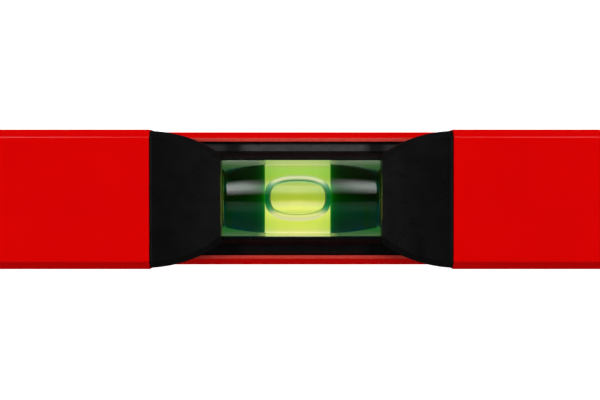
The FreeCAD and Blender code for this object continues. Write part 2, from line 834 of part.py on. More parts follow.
def bezel(word, side, half):
    """One half of a plumb vial's housing. Both halves are made facing -Y, and the back is turned."""
    tag = f"{word}{half}"
    body = new_body(f"Bezel{tag}")
    bezel_shell(body, tag)

    cradle = sketch_on(body, "XZ_Plane", f"Cradle{tag}", "bezel_split")
    for direction in (-1, 1):
        place = f"{direction} * (cradle_start + cradle_end) / 2"
        rectangle(cradle, "cradle_width", "cradle_end - cradle_start", up=place)
    for across, up in boss_places():
        circle(cradle, "boss_radius", across, up)
    add(body, cradle, "cradle_depth - bezel_split")
    bosses = sketch_on(body, "XZ_Plane", f"Bosses{tag}", "cradle_depth - boss_overlap")
    for across, up in boss_places():
        circle(bosses, "boss_radius", across, up)
    add(body, bosses, "boss_length - cradle_depth + boss_overlap")

    tube = sketch_on(body, "XY_Plane", f"TubeSeat{tag}")
    circle(tube, "tube_radius + tube_gap")
    remove(body, tube, "tube_length + 2 * tube_gap", "Symmetric")

    slot = sketch_on(body, "XZ_Plane", f"Slot{tag}")
    rectangle(slot, "slot_width", "slot_length", corner="slot_corner")
    remove(body, slot, "profile_width", backwards=True)

    holes = sketch_on(body, "XZ_Plane", f"ScrewHoles{tag}")
    for across, up in boss_places():
        circle(holes, "pilot_radius" if half == "front" else "clearance_radius", across, up)
    depth = "bezel_pilot_depth" if half == "front" else "bezel_screw_seat"
    remove(body, holes, depth, backwards=True)
    if half == "back":
        seats = sketch_on(body, "XZ_Plane", f"ScrewSeats{tag}", "bezel_screw_seat")
        for across, up in boss_places():
            circle(seats, "counterbore_radius", across, up)
        remove(body, seats, "profile_width / 2", backwards=True)
        body.Placement.Rotation = HALF_TURN
    bind(body, "Placement.Base.x", f"{side} * plumb_place")
    bind(body, "Placement.Base.z", "plumb_height")
    sub_part(f"plumb_bezel_{half}_{word}", body)


def bezel_screws(word, side):
    """Four self-tapping screws, driven from the back bezel into the front one."""
    pieces, slots = [], []
    for across, up in boss_places():
        x, z = f"{side} * plumb_place + {across}", f"plumb_height + {up}"
        end = "(bezel_screw_seat - bezel_screw_length)"
        shank = {"Radius": "screw_radius", "Height": "bezel_screw_length"}
        pieces.append(primitive("Cylinder", f"BezelShank{word}", shank, (x, end, z), ALONG_Y))
        head = {"Radius": "head_radius", "Height": "head_height"}
        pieces.append(primitive("Cylinder", f"BezelHead{word}", head, (x, "bezel_screw_seat", z), ALONG_Y))
        for width, height in CROSS:
            place = (x, "bezel_screw_seat + head_height - head_slot_depth / 2")
            bottom = f"{z} - {height} / 2"
            slots.append(block(f"BezelSlot{word}", width, "head_slot_depth", height, place, bottom))
    blanks, crosses = union(f"BezelBlanks{word}", pieces), union(f"BezelCrosses{word}", slots)
    sub_part(f"plumb_screws_{word}", difference(f"BezelScrews{word}", blanks, crosses))


def plumb_vial(word, side):
    """Clear cylinder with a barrel-shaped chamber, standing between the two bezels."""
    body = new_body(f"Tube{word}")
    outer = sketch_on(body, "XY_Plane", f"TubeOutline{word}")
    circle(outer, "tube_radius")
    add(body, outer, "tube_length", "Symmetric")
    end = value("tube_length / 2")
    dress(body, "Chamfer", "Size", "tube_chamfer", lambda edge: abs(abs(edge.BoundBox.ZMax) - end) < TINY)
    barrel(body, f"TubeChamber{word}", "YZ_Plane", "0", tube_chamber_size(), "Groove")
    filler = sketch_on(body, "XY_Plane", f"TubeFiller{word}", "-tube_length / 2")
    circle(filler, "filler_radius")
    remove(body, filler, "(tube_length - tube_chamber_length) / 2 + filler_overlap", backwards=True)
    bind(body, "Placement.Base.x", f"{side} * plumb_place")
    bind(body, "Placement.Base.z", "plumb_height")
    sub_part(f"plumb_vial_{word}", body)


def plumb_vial_plug(word, side):
    """Short plug bonded into the filling hole at the bottom of a plumb vial."""
    sizes = {"Radius": "filler_radius - fluid_gap", "Height": "(tube_length - tube_chamber_length) / 2"}
    place = (f"{side} * plumb_place", "0", "plumb_height - tube_length / 2")
    sub_part(f"plumb_vial_plug_{word}", primitive("Cylinder", f"TubePlug{word}", sizes, place))


def plumb_bubble_shape(name, side, growth="0"):
    """The egg-shaped bubble at the top of an upright chamber, made larger by a growth."""
    sizes = {
        "Radius1": f"plumb_bubble_length / 2 + {growth}",
        "Radius2": f"plumb_bubble_width / 2 + {growth}",
        "Radius3": f"plumb_bubble_width / 2 + {growth}",
    }
    top = "(plumb_height + tube_chamber_length / 2 - plumb_bubble_gap)"
    place = (f"{side} * plumb_place", "0", f"{top} - plumb_bubble_length / 2")
    return primitive("Ellipsoid", name, sizes, place)


def plumb_bubble(word, side):
    """Air bubble, which slides down the chamber when the level is turned."""
    sub_part(f"plumb_bubble_{word}", plumb_bubble_shape(f"PlumbBubble{word}", side))


def plumb_fluid(word, side):
    """Fluid that fills a plumb chamber round the bubble."""
    body = new_body(f"PlumbFluidBody{word}")
    barrel(body, f"PlumbFluidBarrel{word}", "YZ_Plane", "0", tube_chamber_size("fluid_gap"), "Revolution")
    bind(body, "Placement.Base.x", f"{side} * plumb_place")
    bind(body, "Placement.Base.z", "plumb_height")
    hollow = plumb_bubble_shape(f"PlumbBubbleHollow{word}", side, "fluid_gap")
    sub_part(f"plumb_fluid_{word}", difference(f"PlumbFluid{word}", body, hollow))


def plumb_rings(word, side):
    """Two dark reading rings round a plumb vial, a bubble's length apart."""
    rings = []
    for direction in (-1, 1):
        bottom = f"plumb_height + {direction} * ring_spacing / 2 - ring_width / 2"
        place = (f"{side} * plumb_place", "0", bottom)
        outer = {"Radius": "tube_radius + ring_thickness", "Height": "ring_width"}
        inner = {"Radius": "tube_radius", "Height": "ring_width"}
        disc = primitive("Cylinder", f"RingDisc{word}", outer, place)
        hole = primitive("Cylinder", f"RingHole{word}", inner, place)
        rings.append(difference(f"Ring{word}", disc, hole))
    sub_part(f"plumb_rings_{word}", union(f"Rings{word}", rings))


# ------------------------------------------------------------------ whole level


def build():
    """Build every sub-part."""
    fill_sheet()
    box_profile()
    vial_saddle()
    centre_vial()
    centre_vial_plug()
    centre_bubble()
    centre_fluid()
    centre_backing()
    vial_retainer()
    retainer_screws()
    for word, side in SIDES:
        end_cap(word, side)
        shock_pad(word, side)
        bezel(word, side, "front")
        bezel(word, side, "back")
        bezel_screws(word, side)
        plumb_vial(word, side)
        plumb_vial_plug(word, side)
        plumb_bubble(word, side)
        plumb_fluid(word, side)
        plumb_rings(word, side)
    doc.recompute()


def check():
    """Stop if any object failed or any sub-part isn't a valid shape."""
    for thing in doc.Objects:
        if "Invalid" in thing.State or "Error" in thing.State:
            raise RuntimeError(f"{thing.Label} failed: {thing.State}")
    for thing in sub_parts:
        if thing.Shape.isNull() or not thing.Shape.isValid() or not thing.Shape.Solids:
            raise RuntimeError(f"{thing.Label} has no valid solid")


def export():
    """Write one STEP file per sub-part."""
    os.makedirs("parts", exist_ok=True)
    for thing in sub_parts:
        thing.Shape.exportStep(f"parts/{thing.Label}.step")
        bounds = thing.Shape.BoundBox
        print(f"{thing.Label}: {len(thing.Shape.Solids)} solid(s), {thing.Shape.Volume:.1f} mm3, {bounds}")


build()
check()
export()
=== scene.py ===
import math

import bmesh
import bpy
from mathutils import Matrix, Vector


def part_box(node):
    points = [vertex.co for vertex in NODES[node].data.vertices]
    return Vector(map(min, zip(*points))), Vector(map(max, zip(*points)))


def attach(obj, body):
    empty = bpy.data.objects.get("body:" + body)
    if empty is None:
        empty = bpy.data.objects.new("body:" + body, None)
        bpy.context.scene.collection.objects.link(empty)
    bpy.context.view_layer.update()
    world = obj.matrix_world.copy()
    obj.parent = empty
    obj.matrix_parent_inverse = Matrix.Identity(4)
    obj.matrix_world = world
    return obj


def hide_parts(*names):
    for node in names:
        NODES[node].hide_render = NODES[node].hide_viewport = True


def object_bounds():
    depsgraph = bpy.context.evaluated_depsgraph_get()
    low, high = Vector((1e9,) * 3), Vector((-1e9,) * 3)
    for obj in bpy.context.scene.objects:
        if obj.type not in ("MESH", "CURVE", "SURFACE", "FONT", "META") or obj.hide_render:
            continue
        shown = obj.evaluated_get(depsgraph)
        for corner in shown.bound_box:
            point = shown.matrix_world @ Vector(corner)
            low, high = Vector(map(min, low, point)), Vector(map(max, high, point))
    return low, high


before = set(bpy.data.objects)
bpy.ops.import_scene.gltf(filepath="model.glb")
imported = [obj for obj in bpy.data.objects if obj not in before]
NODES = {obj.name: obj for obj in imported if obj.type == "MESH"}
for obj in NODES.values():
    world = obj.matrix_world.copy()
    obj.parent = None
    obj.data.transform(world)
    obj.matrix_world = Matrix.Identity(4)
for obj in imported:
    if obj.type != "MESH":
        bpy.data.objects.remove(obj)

# A box-section spirit level, in metres. X runs along it, Y across it and Z up from its lower
# measuring face. Its body keeps the CAD's shapes. The three vials, their fluids and their bubbles
# are made here, and each replaces its CAD node.

MM = 0.001
CAD_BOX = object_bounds()
SIDES = ("left", "right")

# Heights and places on the level.
SHOULDER_Z = 50.0 * MM  # the flat top of the centre vial's block, beside its crown
CROWN_AXIS_Z = 47.5 * MM
RAIL_Z = 46.0 * MM  # the milled tops of the side walls, beside the notch
LEDGE_Y = 9.5 * MM
LEDGE_HALF_WIDTH = 0.9 * MM
OPENING_X = 0.6 * MM  # the middle of the saddle's opening
OPENING_HALF = 15.4 * MM  # half its length, from ramp to ramp
SIGHT_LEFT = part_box("centre_vial_mask_left")[1].x
SIGHT_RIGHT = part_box("centre_vial_mask_right")[0].x
SIGHT_X, SIGHT_HALF = (SIGHT_LEFT + SIGHT_RIGHT) / 2, (SIGHT_RIGHT - SIGHT_LEFT) / 2

# The centre vial's block.
BODY_HALF_X, BODY_HALF_Y = 14.65 * MM, 7.05 * MM
BODY_Y = 0.09 * MM  # the block stands against the far side of its opening
BODY_EDGE = 0.08 * MM
FOOT_HEIGHT = 1.5 * MM
FOOT_EDGE = 0.15 * MM
OPTICAL_CONTACT = 0.25 * MM  # the block is cemented over its backing plates

# Barrels: length and radius at the middle, the straight part of the side, the radius of the bow
# beyond it, and the radius of the corners.
CROWN = {
    "length": 28.7 * MM, "radius": 6.88 * MM, "straight": 8.0 * MM, "bow": 51.0 * MM,
    "corner": 0.8 * MM,
}
CENTRE_CHAMBER = {
    "length": 25.54 * MM, "radius": 5.37 * MM, "straight": 0.0, "bow": 82.0 * MM,
    "corner": 1.2 * MM,
}
PLUMB_BODY = {
    "length": 27.0 * MM, "radius": 6.0 * MM, "straight": 0.0, "bow": 90.0,  # as good as straight
    "corner": 0.5 * MM,
}
PLUMB_CHAMBER = {
    "length": 21.94 * MM, "radius": 4.57 * MM, "straight": 0.0, "bow": 120.0 * MM,
    "corner": 1.0 * MM,
}

# Bubbles: the radius of the rim and the rise of the top inside it.
BUBBLE_HALF_WIDTH = 3.74 * MM
BUBBLE_Y = 0.22 * MM  # it sits a little to the far side of its chamber
BUBBLE_RIM, BUBBLE_CROWN = 1.1 * MM, 0.1 * MM
PLUMB_BUBBLE_RIM, PLUMB_BUBBLE_CROWN = 2.4 * MM, 0.3 * MM
ROUND_PLAN = 2.0  # the power of a true ellipse; a higher one is squarer

ACRYLIC_IOR = 1.49  # against air; a bubble inside the acrylic sees the inverse of it
PLASTIC_SPECULAR = 0.12


# ---------------------------------------------------------------- node helpers


def bare_material(name):
    """A material with no shader, and its node tree."""
    made = bpy.data.materials.new(name)
    made.use_nodes = True
    tree = made.node_tree
    tree.nodes.remove(tree.nodes["Principled BSDF"])
    return made, tree


def new_material(name):
    """A material with one Principled shader, its node tree and that shader."""
    made = bpy.data.materials.new(name)
    made.use_nodes = True
    tree = made.node_tree
    return made, tree, tree.nodes["Principled BSDF"]


def plain(shader, **sockets):
    """Sets constant sockets of a shader, with _ for a space in their names."""
    for name, value in sockets.items():
        shader.inputs[name.replace("_", " ")].default_value = value


def where(tree):
    """The point being shaded, in metres, fixed to its piece."""
    return tree.nodes.new("ShaderNodeTexCoord").outputs["Object"]


def axes(tree, vector):
    """The X, Y and Z of a vector."""
    split = tree.nodes.new("ShaderNodeSeparateXYZ")
    tree.links.new(vector, split.inputs["Vector"])
    return split.outputs["X"], split.outputs["Y"], split.outputs["Z"]


def grain(tree, size, detail=3.0, stretch=(1, 1, 1)):
    """Noise whose features measure about size, in metres."""
    mapping = tree.nodes.new("ShaderNodeMapping")
    mapping.inputs["Scale"].default_value = stretch
    noise = tree.nodes.new("ShaderNodeTexNoise")
    noise.inputs["Scale"].default_value = 1 / size
    noise.inputs["Detail"].default_value = detail
    tree.links.new(where(tree), mapping.inputs["Vector"])
    tree.links.new(mapping.outputs["Vector"], noise.inputs["Vector"])
    return noise.outputs["Fac"]


def ramp(tree, source, stops):
    """Colours or greys at positions 0 to 1 of a source."""
    made = tree.nodes.new("ShaderNodeValToRGB")
    elements = made.color_ramp.elements
    while len(elements) < len(stops):
        elements.new(0.5)
    for element, (position, colour) in zip(elements, stops):
        element.position = position
        element.color = (*colour, 1) if hasattr(colour, "__len__") else (colour,) * 3 + (1,)
    tree.links.new(source, made.inputs["Fac"])
    return made.outputs["Color"]


def drift(tree, size, detail, low, high):
    """A colour or grey that drifts from low to high over patches of about size."""
    return ramp(tree, grain(tree, size, detail), [(0.3, low), (0.7, high)])


def scaled(tree, source, low, high, to_low=0.0, to_high=1.0):
    """The source's low to high as 0 to 1, or as another range, and clamped to it."""
    made = tree.nodes.new("ShaderNodeMapRange")
    plain(made, From_Min=low, From_Max=high, To_Min=to_low, To_Max=to_high)
    tree.links.new(source, made.inputs["Value"])
    return made.outputs["Result"]


def spread(tree, source, low, high):
    """The source's 0.3 to 0.7, where noise lies, spread over low to high."""
    return scaled(tree, source, 0.3, 0.7, low, high)


def math_node(tree, operation, first, second=None):
    """A Math node of one or two sockets or numbers."""
    made = tree.nodes.new("ShaderNodeMath")
    made.operation = operation
    for socket, value in zip(made.inputs, (first, second)):
        if value is None:
            continue
        if hasattr(value, "is_output"):
            tree.links.new(value, socket)
        else:
            socket.default_value = value
    return made.outputs["Value"]


def distance(tree, source, middle=None):
    """How far the source is from the middle, or from 0, to either side."""
    if middle is not None:
        source = math_node(tree, "SUBTRACT", source, middle)
    return math_node(tree, "ABSOLUTE", source)


def blended(tree, factor, first, second, kind="MIX"):
    """A Mix node of two colours or colour sockets."""
    made = tree.nodes.new("ShaderNodeMix")
    made.data_type = "RGBA"
    made.blend_type = kind
    # The node has a pair of inputs for each data type, and 6 and 7 are the two colours.
    for index, value in ((0, factor), (6, first), (7, second)):
        socket = made.inputs[index]
        if hasattr(value, "is_output"):
            tree.links.new(value, socket)
        elif hasattr(value, "__len__"):
            socket.default_value = (*value, 1)
        else:
            socket.default_value = value
    return made.outputs[2]


def multiplied(tree, first, second):
    """The product of two colours."""
    return blended(tree, 1.0, first, second, "MULTIPLY")


def emission(tree, colour, strength=1.0):
    """A glow of this colour."""
    made = tree.nodes.new("ShaderNodeEmission")
    made.inputs["Strength"].default_value = strength
    tree.links.new(colour, made.inputs["Color"])
    return made.outputs["Emission"]


def mixed_shaders(tree, share, first, second):
    """A shader that goes from the first to the second with the share."""
    made = tree.nodes.new("ShaderNodeMixShader")
    tree.links.new(share, made.inputs["Fac"])
    tree.links.new(first, made.inputs[1])
    tree.links.new(second, made.inputs[2])
    return made.outputs["Shader"]


def relief(tree, shader, heights, edge=0.0):
    """Bumps the shader by each (height socket, depth in metres), over edges rounded by edge."""
    normal = None
    if edge:
        rounded = tree.nodes.new("ShaderNodeBevel")
        rounded.samples = 4
        rounded.inputs["Radius"].default_value = edge
        normal = rounded.outputs["Normal"]
    for height, depth in heights:
        bump = tree.nodes.new("ShaderNodeBump")
        bump.inputs["Distance"].default_value = depth
        tree.links.new(height, bump.inputs["Height"])
        if normal is not None:
            tree.links.new(normal, bump.inputs["Normal"])
        normal = bump.outputs["Normal"]
    tree.links.new(normal, shader.inputs["Normal"])


# ---------------------------------------------------------------- solid finishes


def red_coat():
    """Baked powder coat: a low orange peel, a fine grain and a little drift in its red. On the
    milled tops of the notch's rails a pale pink painted highlight stands in for the light they
    catch."""
    made, tree, shader = new_material("red_powder_coat")
    plain(shader, Specular_IOR_Level=0.22, IOR=1.5)
    tone = drift(tree, 9 * MM, 4, (0.485, 0.0002, 0.0002), (0.505, 0.0003, 0.0003))
    # painted highlight: a pale pink on the rail tops, in place of the light they catch
    painted_rail_highlight = drift(tree, 0.7 * MM, 2, (0.40, 0.028, 0.020), (0.47, 0.042, 0.030))
    speck = ramp(tree, grain(tree, 0.25 * MM, 2), [(0.35, 0.955), (0.6, 1.0)])
    height = axes(tree, where(tree))[2]
    from_rail = scaled(tree, distance(tree, height, RAIL_Z), 0.02 * MM, 0.12 * MM)
    milled = ramp(tree, from_rail, [(0.0, 1.0), (1.0, 0.0)])
    coat = multiplied(tree, blended(tree, milled, tone, painted_rail_highlight), speck)
    tree.links.new(coat, shader.inputs["Base Color"])
    tree.links.new(spread(tree, grain(tree, 3 * MM), 0.045, 0.065), shader.inputs["Roughness"])
    orange_peel = (grain(tree, 0.9 * MM, 1), 0.0015 * MM)
    fine_grain = (grain(tree, 0.22 * MM, 2), 0.001 * MM)
    relief(tree, shader, [orange_peel, fine_grain], 0.3 * MM)
    return made


def black_moulding():
    """Injection-moulded black plastic with a fine spark-eroded skin, rubbed glossier along the
    saddle's ledges: most at their middle, and a little where they meet the ramps."""
    made, tree, shader = new_material("black_moulded_plastic")
    plain(shader, IOR=1.5, Specular_IOR_Level=PLASTIC_SPECULAR)
    tone = drift(tree, 5 * MM, 4, (0.0023, 0.0023, 0.0024), (0.0034, 0.0034, 0.0034))
    tree.links.new(tone, shader.inputs["Base Color"])

    x, y, _ = axes(tree, where(tree))
    along = distance(tree, x, OPENING_X)
    from_ledge = distance(tree, distance(tree, y), LEDGE_Y)
    past_ramps = scaled(tree, along, OPENING_HALF, OPENING_HALF + 0.4 * MM)
    past_ledge = scaled(tree, from_ledge, LEDGE_HALF_WIDTH, LEDGE_HALF_WIDTH + 0.2 * MM)
    between_ramps = ramp(tree, past_ramps, [(0.0, 1.0), (1.0, 0.0)])
    on_ledge = ramp(tree, past_ledge, [(0.0, 1.0), (1.0, 0.0)])
    towards_ramp = scaled(tree, along, 10.2 * MM, 15.6 * MM)
    rubbed = ramp(tree, towards_ramp, [(0.11, 1.0), (0.44, 0.0), (0.75, 0.0), (1.0, 0.3)])
    patchy = ramp(tree, grain(tree, 1.1 * MM, 4), [(0.35, 0.7), (0.62, 1.0)])
    shine = ramp(tree, math_node(tree, "MULTIPLY", rubbed, patchy), [(0.0, 0.03), (1.0, 0.31)])
    ledge = math_node(tree, "MULTIPLY", on_ledge, between_ramps)
    gloss = blended(tree, ledge, (PLASTIC_SPECULAR,) * 3, shine)
    tree.links.new(gloss, shader.inputs["Specular IOR Level"])

    wear = blended(tree, 0.6, grain(tree, 0.4 * MM, 2), grain(tree, 2.6 * MM, 4))
    tree.links.new(spread(tree, wear, 0.22, 0.5), shader.inputs["Roughness"])
    coarse_skin = (grain(tree, 0.3 * MM, 4), 0.02 * MM)
    fine_skin = (grain(tree, 0.1 * MM, 2), 0.006 * MM)
    relief(tree, shader, [coarse_skin, fine_skin], 0.12 * MM)
    return made


def pad_rubber():
    """Matt synthetic rubber, slightly chalky."""
    made, tree, shader = new_material("shock_pad_rubber")
    plain(shader, Specular_IOR_Level=0.3)
    tone = drift(tree, 4 * MM, 5, (0.009, 0.009, 0.010), (0.019, 0.019, 0.020))
    tree.links.new(tone, shader.inputs["Base Color"])
    tree.links.new(spread(tree, grain(tree, 1 * MM), 0.68, 0.85), shader.inputs["Roughness"])
    relief(tree, shader, [(grain(tree, 0.35 * MM, 3), 0.03 * MM)], 0.2 * MM)
    return made


def screw_steel():
    """Zinc-plated steel with faint turning marks."""
    made, tree, shader = new_material("zinc_plated_steel")
    plain(shader, Metallic=1.0)
    tone = drift(tree, 0.8 * MM, 4, (0.50, 0.51, 0.53), (0.68, 0.68, 0.67))
    tree.links.new(tone, shader.inputs["Base Color"])
    tree.links.new(spread(tree, grain(tree, 0.3 * MM, 4), 0.22, 0.42), shader.inputs["Roughness"])
    relief(tree, shader, [(grain(tree, 0.2 * MM, 2, (1, 0.1, 1)), 0.004 * MM)], 0.1 * MM)
    return made


def ring_ink():
    """Screen-printed black ink, a little uneven in gloss."""
    made, tree, shader = new_material("printed_ring_ink")
    tone = drift(tree, 0.6 * MM, 3, (0.006, 0.006, 0.006), (0.016, 0.016, 0.016))
    tree.links.new(tone, shader.inputs["Base Color"])
    tree.links.new(spread(tree, grain(tree, 0.4 * MM), 0.3, 0.5), shader.inputs["Roughness"])
    relief(tree, shader, [(grain(tree, 0.25 * MM, 2), 0.005 * MM)])
    return made


# ---------------------------------------------------------------- clear finishes


def clear_acrylic():
    """Polished acrylic with the faintest polishing haze."""
    made, tree, shader = new_material("clear_acrylic")
    plain(shader, Transmission_Weight=1.0, IOR=ACRYLIC_IOR)
    tone = drift(tree, 6 * MM, 2, (0.965, 0.985, 0.965), (0.985, 1.0, 0.985))
    tree.links.new(tone, shader.inputs["Base Color"])
    tree.links.new(spread(tree, grain(tree, 1.2 * MM, 4), 0.0, 0.035), shader.inputs["Roughness"])
    return made


def green_fluid():
    """Dyed mineral spirit. Its index is close to the acrylic's, so its edge doesn't show and only
    its dye does."""
    made, tree, shader = new_material("green_vial_fluid")
    plain(shader, Transmission_Weight=1.0, IOR=1.0, Roughness=0.0)
    tone = drift(tree, 8 * MM, 1, (0.97, 0.99, 0.93), (0.99, 1.0, 0.95))
    tree.links.new(tone, shader.inputs["Base Color"])
    dye = tree.nodes.new("ShaderNodeVolumeAbsorption")
    plain(dye, Color=(0.88, 0.979, 0.04, 1), Density=200.0)
    tree.links.new(dye.outputs["Volume"], tree.nodes["Material Output"].inputs["Volume"])
    return made


def bubble_air(name):
    """Air seen from inside the fluid, with a faint painted green glow on its steep sides in place
    of the dyed fluid's light seen there: the material, its node tree and its shader."""
    made, tree = bare_material(name)
    glass = tree.nodes.new("ShaderNodeBsdfGlass")
    plain(glass, IOR=1 / ACRYLIC_IOR, Roughness=0.0)
    tone = drift(tree, 3 * MM, 1, (0.98, 1.0, 0.98), (1.0, 1.0, 1.0))
    tree.links.new(tone, glass.inputs["Color"])
    facing = tree.nodes.new("ShaderNodeLayerWeight")
    facing.inputs["Blend"].default_value = 0.5
    # painted glow: a faint green emitted where the sides are steep
    steep = ramp(tree, facing.outputs["Facing"], [(0.12, 0.0), (0.3, (0.0, 0.06, 0.045))])
    both = tree.nodes.new("ShaderNodeAddShader")
    tree.links.new(glass.outputs["BSDF"], both.inputs[0])
    tree.links.new(emission(tree, steep), both.inputs[1])
    tree.links.new(both.outputs["Shader"], tree.nodes["Material Output"].inputs["Surface"])
    return made, tree, both.outputs["Shader"]


# The painted glow of the centre bubble's rim, emitted in place of the light and shade it takes from
# around the vial. Along its sides it changes with how flat the surface lies, from 0, upright, to 1,
# level. At its ends it changes with the distance from the axis.
FAR_SIDE_GLINT = [
    (0.30, (0.42, 0.62, 0.16)),
    (0.50, (0.74, 0.80, 0.46)),
    (0.75, (0.64, 0.71, 0.37)),
    (0.83, (0.40, 0.50, 0.20)),
    (0.89, (0.08, 0.27, 0.05)),
    (0.98, (0.06, 0.26, 0.09)),
    (0.992, (0.40, 0.60, 0.25)),
]
NEAR_SIDE_GLINT = [
    (0.30, (0.74, 0.76, 0.38)),
    (0.55, (0.72, 0.70, 0.32)),
    (0.80, (0.78, 0.82, 0.26)),
    (0.92, (0.78, 0.84, 0.24)),
    (0.96, (0.33, 0.45, 0.08)),
    (0.98, (0.35, 0.48, 0.09)),
    (0.99, (0.78, 0.84, 0.25)),
]
END_GLINT = [
    (0.0, (0.001, 0.11, 0.012)),
    (0.28, (0.003, 0.16, 0.03)),
    (0.42, (0.01, 0.27, 0.08)),
    (0.58, (0.14, 0.38, 0.17)),
]


def glinting_bubble_air():
    """The centre bubble: its rim has a painted cream glint along both sides, emitted in place of
    the light it gathers from beside the vial, with a narrow teal or olive painted line inside the
    glint, and a painted deep green at both ends."""
    made, tree, clear = bubble_air("centre_bubble_air")
    normal = tree.nodes.new("ShaderNodeTexCoord").outputs["Normal"]
    flatness = distance(tree, axes(tree, normal)[2])
    across = axes(tree, where(tree))[1]
    aside = scaled(tree, distance(tree, across), 0.0, 3.6 * MM)

    far_side = ramp(tree, flatness, FAR_SIDE_GLINT)
    near_side = ramp(tree, flatness, NEAR_SIDE_GLINT)
    sides = blended(tree, scaled(tree, across, -0.5 * MM, 0.5 * MM), near_side, far_side)
    ends = ramp(tree, aside, END_GLINT)
    glint = blended(tree, ramp(tree, aside, [(0.56, 0.0), (0.75, 1.0)]), ends, sides)

    rim_of_sides = ramp(tree, flatness, [(0.99, 1.0), (0.998, 0.0)])
    rim_of_ends = ramp(tree, flatness, [(0.82, 0.8), (0.95, 0.0)])
    to_side = ramp(tree, aside, [(0.50, 0.0), (0.72, 1.0)])
    rim = blended(tree, to_side, rim_of_ends, rim_of_sides)
    # painted glint: where the rim lies, the glass gives way to the emitted glow
    surface = mixed_shaders(tree, rim, clear, emission(tree, glint))
    tree.links.new(surface, tree.nodes["Material Output"].inputs["Surface"])
    return made


# ---------------------------------------------------------------- backing plates


# The painted glow of the plate under the block, emitted in place of the light that reaches it
# through the vial, with pale bands across it that are painted reflections of the lights, from its
# -Y edge to its +Y edge, between the masks and past them. A ramp clamps its colours at 1, so they
# are divided by the glow's strength.
BACKING_STRENGTH = 1.6
BACKING_HALF_WIDTH = 7.8 * MM
BACKING_MIDDLE = [
    (0.0, (0.437, 0.469, 0.150)),
    (0.16, (0.437, 0.475, 0.137)),
    (0.375, (0.525, 0.519, 0.312)),
    (0.41, (0.537, 0.519, 0.375)),
    (0.42, (0.625, 0.550, 0.594)),
    (0.43, (0.700, 0.587, 0.750)),
    (0.44, (0.750, 0.606, 0.844)),
    (0.45, (0.688, 0.569, 1.187)),
    (0.47, (0.625, 0.487, 1.000)),
    (0.48, (0.462, 0.412, 0.225)),
    (0.49, (0.344, 0.344, 0.050)),
    (0.51, (0.331, 0.338, 0.091)),
    (0.525, (0.431, 0.425, 0.562)),
    (0.54, (0.425, 0.437, 0.781)),
    (0.555, (0.462, 0.431, 0.562)),
    (0.565, (0.356, 0.387, 0.325)),
    (0.6, (0.244, 0.475, 0.250)),
    (0.84, (0.300, 0.387, 0.112)),
    (1.0, (0.312, 0.362, 0.131)),
]
BACKING_ENDS = [
    (0.0, (0.075, 0.119, 0.062)),
    (0.07, (0.050, 0.100, 0.044)),
    (0.12, (0.012, 0.088, 0.019)),
    (0.86, (0.025, 0.069, 0.025)),
    (0.89, (0.044, 0.088, 0.037)),
    (0.92, (0.100, 0.125, 0.088)),
    (0.95, (0.137, 0.150, 0.119)),
]

# The painted glow on the masks, emitted in place of the light that spills from the window: by the
# distance from it, times a tint by the place across, plus a base that doesn't fade with distance.
# The places span the narrow strip of mask that the crown magnifies.
MASK_SPILL_LENGTH = 9 * MM
MASK_SPILL = [
    (0.0, (0.02, 0.20, 0.02)),
    (0.02, (0.002, 0.080, 0.01)),
    (0.07, (0.0, 0.034, 0.002)),
    (0.17, (0.0, 0.0145, 0.0005)),
    (0.3, (0.0, 0.0085, 0.0)),
    (0.5, (0.0, 0.0050, 0.0)),
    (0.8, (0.0, 0.0018, 0.0)),
]
MASK_STRIP_HALF = 1.5 * MM
MASK_TINT = [
    (0.03, (1.0, 1.0, 3.0)),
    (0.28, (1.0, 1.5, 4.0)),
    (0.5, (1.0, 1.5, 1.0)),
    (0.60, (1.0, 1.4, 1.0)),
    (0.66, (1.0, 2.5, 9.0)),
    (0.74, (1.0, 2.5, 9.0)),
    (0.79, (1.0, 1.0, 1.0)),
]
MASK_BASE = [
    (0.0, (0.0, 0.010, 0.036)),
    (0.28, (0.0, 0.025, 0.080)),
    (0.40, (0.0, 0.007, 0.018)),
    (0.48, (0.0, 0.0, 0.0)),
    (0.60, (0.0, 0.0, 0.0)),
    (0.66, (0.0, 0.018, 0.060)),
    (0.74, (0.0, 0.018, 0.060)),
    (0.79, (0.0, 0.0, 0.0)),
]
# painted light: how much of the painted base glow is left past the chamber's end
PAST_CHAMBER_GLOW = (0.8, 0.95, 0.13)  # the base's share past the chamber, where no dye lies over it


def along_and_across(tree):
    """The distance along X from the middle of the sight window, and the place across Y."""
    x, y, _ = axes(tree, where(tree))
    return distance(tree, x, SIGHT_X), y


def bright_backing():
    """Pale backing plate with painted light: it emits a glow in place of the light gathered by the
    vial, cream towards -Y, green-white towards +Y and grey-green at its ends, and painted shade
    dims it towards the ends of the window."""
    made, tree, shader = new_material("bright_backing_plate")
    plain(shader, Roughness=0.7, Specular_IOR_Level=0.1, Emission_Strength=BACKING_STRENGTH)
    along, across = along_and_across(tree)
    place = scaled(tree, across, -BACKING_HALF_WIDTH, BACKING_HALF_WIDTH)
    middle = ramp(tree, place, BACKING_MIDDLE)
    ends = ramp(tree, place, BACKING_ENDS)
    past_window = scaled(tree, along, SIGHT_HALF - 0.1 * MM, SIGHT_HALF + 1.6 * MM)
    towards_ends = ramp(tree, past_window, [(0.0, 0.0), (0.1, 0.55), (1.0, 1.0)])
    glow = blended(tree, towards_ends, middle, ends)

    in_window = scaled(tree, along, 0.0, SIGHT_HALF)
    # painted shade: the glow dims towards the ends of the window
    painted_dimming = ramp(tree, in_window, [(0.0, 1.0), (0.6, (0.93, 0.97, 0.93)), (1.0, (0.72, 0.86, 0.70))])
    fine = drift(tree, 0.4 * MM, 3, 0.97, 1.0)
    glow = multiplied(tree, multiplied(tree, glow, painted_dimming), fine)
    tree.links.new(glow, shader.inputs["Emission Color"])
    # the plate's own colour is a dim share of the painted glow
    tree.links.new(blended(tree, 0.85, glow, (0.0, 0.0, 0.0)), shader.inputs["Base Color"])
    return made


